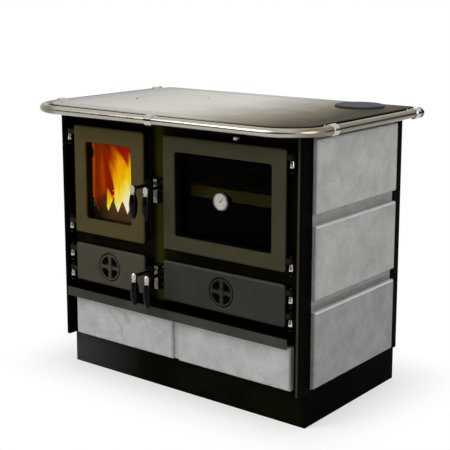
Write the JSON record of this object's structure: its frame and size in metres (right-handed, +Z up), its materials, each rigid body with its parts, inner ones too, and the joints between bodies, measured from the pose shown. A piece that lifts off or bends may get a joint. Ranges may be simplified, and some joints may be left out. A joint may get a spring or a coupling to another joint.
{
  "type": "soapstone boiler stove",
  "caption": "Free-standing wood-fired range with a boiler, oven, soapstone sides, hinged cast doors, a wood drawer, a steel hob with a lift-off lid and a chrome rail.",
  "frame": {"origin": "on the floor, in the middle of the side frames' width and depth", "axes": "+X to the right of someone facing the doors, doors face -Y, +Z up"},
  "size_m": [1.046, 0.658, 0.8562],
  "materials": {
    "black_steel": "matte black stove paint",
    "plinth_paint": "semi-gloss black paint",
    "grey_steel": "satin grey paint",
    "soapstone": "honed soapstone",
    "door_cast": "painted casting, olive grey",
    "dark_cast": "raw casting",
    "hob_steel": "blued steel, satin",
    "sheet_steel": "plain sheet",
    "chrome": "polished",
    "heat_glass": "ceramic door glass",
    "rope": "glass-fibre rope",
    "black_grip": "moulded black",
    "dial_white": "printed white",
    "needle_black": "matte black"
  },
  "bodies": {
    "carcass": {"plinth": "plinth_paint", "left_side_frame": "black_steel", "right_side_frame": "black_steel", "front_plate": "black_steel", "rear_panel": "black_steel", "bay_deck": "black_steel", "boiler_jacket": "dark_cast", "grate": "dark_cast", "log_guard": "dark_cast", "ash_pan": "sheet_steel", "oven_box": "black_steel", "baking_tray": "black_steel", "soot_box": "black_steel", "hob_frame": "hob_steel", "cooking_plate": "hob_steel", "flue_collar": "dark_cast", "rail_tube": "chrome", "rail_knuckles": "chrome", "rail_end_caps": "chrome", "hinge_brackets": "black_steel", "hinge_pins": "chrome", "latch_keepers": "chrome", "left_lower_stone": "soapstone", "left_middle_stone": "soapstone", "left_upper_stone": "soapstone", "right_lower_stone": "soapstone", "right_middle_stone": "soapstone", "right_upper_stone": "soapstone", "drawer_runners": "sheet_steel"},
    "firebox_door": {"firebox_door": "door_cast", "firebox_glass": "heat_glass", "firebox_glass_clips": "sheet_steel", "firebox_seal": "rope"},
    "firebox_handle": {"firebox_lever": "chrome", "firebox_grip": "black_grip"},
    "ash_door": {"ash_door": "door_cast"},
    "ash_wheel": {"ash_air_wheel": "door_cast"},
    "ash_handle": {"ash_lever": "chrome", "ash_grip": "black_grip"},
    "oven_door": {"oven_door": "door_cast", "oven_glass": "heat_glass", "oven_glass_clips": "sheet_steel", "oven_seal": "rope", "thermometer_case": "chrome", "thermometer_dial": "dial_white"},
    "oven_handle": {"oven_lever": "chrome", "oven_grip": "black_grip"},
    "needle": {"thermometer_needle": "needle_black"},
    "lower_door": {"lower_door": "door_cast"},
    "lower_wheel": {"lower_air_wheel": "door_cast"},
    "lower_handle": {"lower_lever": "chrome", "lower_grip": "black_grip"},
    "damper": {"damper_slider": "chrome", "damper_knob": "chrome"},
    "lid": {"hob_lid": "hob_steel"},
    "flue_cover": {"flue_cap": "dark_cast"},
    "drawer": {"drawer_box": "black_steel", "drawer_left_stone": "soapstone", "drawer_right_stone": "soapstone", "drawer_grip": "grey_steel"}
  },
  "joints": [
    {"name": "firebox_door_hinge", "type": "hinge", "parent": "carcass", "child": "firebox_door", "pos_m": [-0.417, -0.262, 0.616], "axis": [0, 0, -1], "range_deg": [0, 100]},
    {"name": "firebox_handle_turn", "type": "hinge", "parent": "firebox_door", "child": "firebox_handle", "pos_m": [-0.09, -0.276, 0.629], "axis": [0, 1, 0], "range_deg": [0, 75]},
    {"name": "ash_door_hinge", "type": "hinge", "parent": "carcass", "child": "ash_door", "pos_m": [-0.417, -0.262, 0.354], "axis": [0, 0, -1], "range_deg": [0, 100]},
    {"name": "ash_handle_turn", "type": "hinge", "parent": "ash_door", "child": "ash_handle", "pos_m": [-0.09, -0.276, 0.367], "axis": [0, 1, 0], "range_deg": [0, 75]},
    {"name": "oven_door_hinge", "type": "hinge", "parent": "carcass", "child": "oven_door", "pos_m": [0.417, -0.262, 0.616], "axis": [0, 0, 1], "range_deg": [0, 100]},
    {"name": "oven_handle_turn", "type": "hinge", "parent": "oven_door", "child": "oven_handle", "pos_m": [-0.04, -0.276, 0.629], "axis": [0, -1, 0], "range_deg": [0, 75]},
    {"name": "lower_door_hinge", "type": "hinge", "parent": "carcass", "child": "lower_door", "pos_m": [0.417, -0.262, 0.354], "axis": [0, 0, 1], "range_deg": [0, 100]},
    {"name": "lower_handle_turn", "type": "hinge", "parent": "lower_door", "child": "lower_handle", "pos_m": [-0.04, -0.276, 0.367], "axis": [0, -1, 0], "range_deg": [0, 75]},
    {"name": "ash_wheel_turn", "type": "hinge", "parent": "ash_door", "child": "ash_wheel", "pos_m": [-0.2455, -0.274, 0.354], "axis": [0, 1, 0], "range_deg": [0, 45]},
    {"name": "lower_wheel_turn", "type": "hinge", "parent": "lower_door", "child": "lower_wheel", "pos_m": [0.1885, -0.274, 0.354], "axis": [0, 1, 0], "range_deg": [0, 45]},
    {"name": "needle_turn", "type": "hinge", "parent": "oven_door", "child": "needle", "pos_m": [0.1885, -0.279, 0.616], "axis": [0, 1, 0], "range_deg": [-180, 90]},
    {"name": "damper_slide", "type": "slide", "parent": "carcass", "child": "damper", "axis": [1, 0, 0], "range_m": [0, 0.045]},
    {"name": "lid_lift", "type": "slide", "parent": "carcass", "child": "lid", "axis": [0, 0, 1], "range_m": [0, 0.12]},
    {"name": "flue_cap_lift", "type": "slide", "parent": "carcass", "child": "flue_cover", "axis": [0, 0, 1], "range_m": [0, 0.12]},
    {"name": "drawer_slide", "type": "slide", "parent": "carcass", "child": "drawer", "axis": [0, -1, 0], "range_m": [0, 0.36]}
  ]
}
